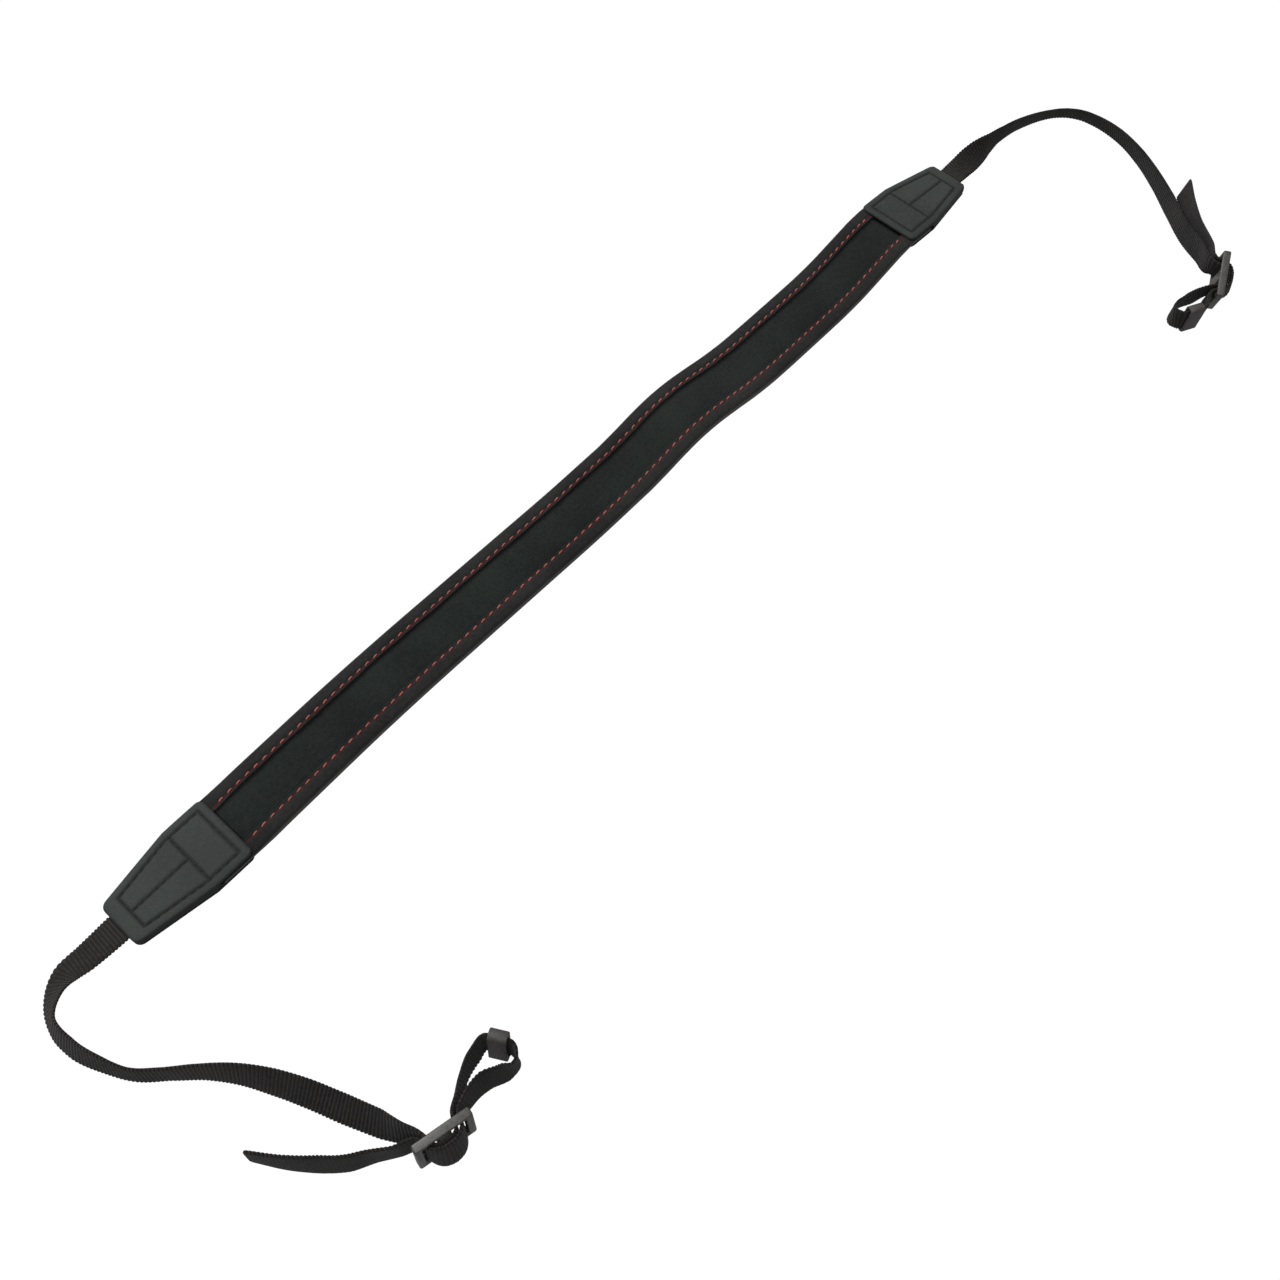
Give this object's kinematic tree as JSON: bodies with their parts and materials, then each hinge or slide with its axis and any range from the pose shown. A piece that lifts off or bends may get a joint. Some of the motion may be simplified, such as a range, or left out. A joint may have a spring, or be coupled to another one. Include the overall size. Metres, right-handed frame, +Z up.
{
  "type": "camera neck strap",
  "caption": "Flat padded neck strap lying on its back, with stitched leather tabs, narrow webbing ends, sliders, keepers and loops for a camera's lugs.",
  "frame": {"origin": "on the pad's flat underside, at the middle of its length", "axes": "+X along the pad from its near end to its far end, +Y across it away from the two loops, +Z up"},
  "size_m": [0.5145, 0.1353, 0.0177],
  "materials": {
    "cover_fabric": "woven, matte",
    "panel_fabric": "woven, matte",
    "tab_leather": "grained, satin",
    "strap_webbing": "ribbed weave, matte",
    "slider_plastic": "moulded, satin",
    "keeper_plastic": "moulded, satin"
  },
  "bodies": {
    "root": {"pad_cover": "cover_fabric", "pad_panel": "panel_fabric", "near_tab_front": "tab_leather", "near_tab_back": "tab_leather", "far_tab_front": "tab_leather", "far_tab_back": "tab_leather", "near_webbing": "strap_webbing", "far_webbing": "strap_webbing", "near_slider": "slider_plastic", "far_slider": "slider_plastic", "near_keeper": "keeper_plastic", "far_keeper": "keeper_plastic"}
  },
  "joints": []
}
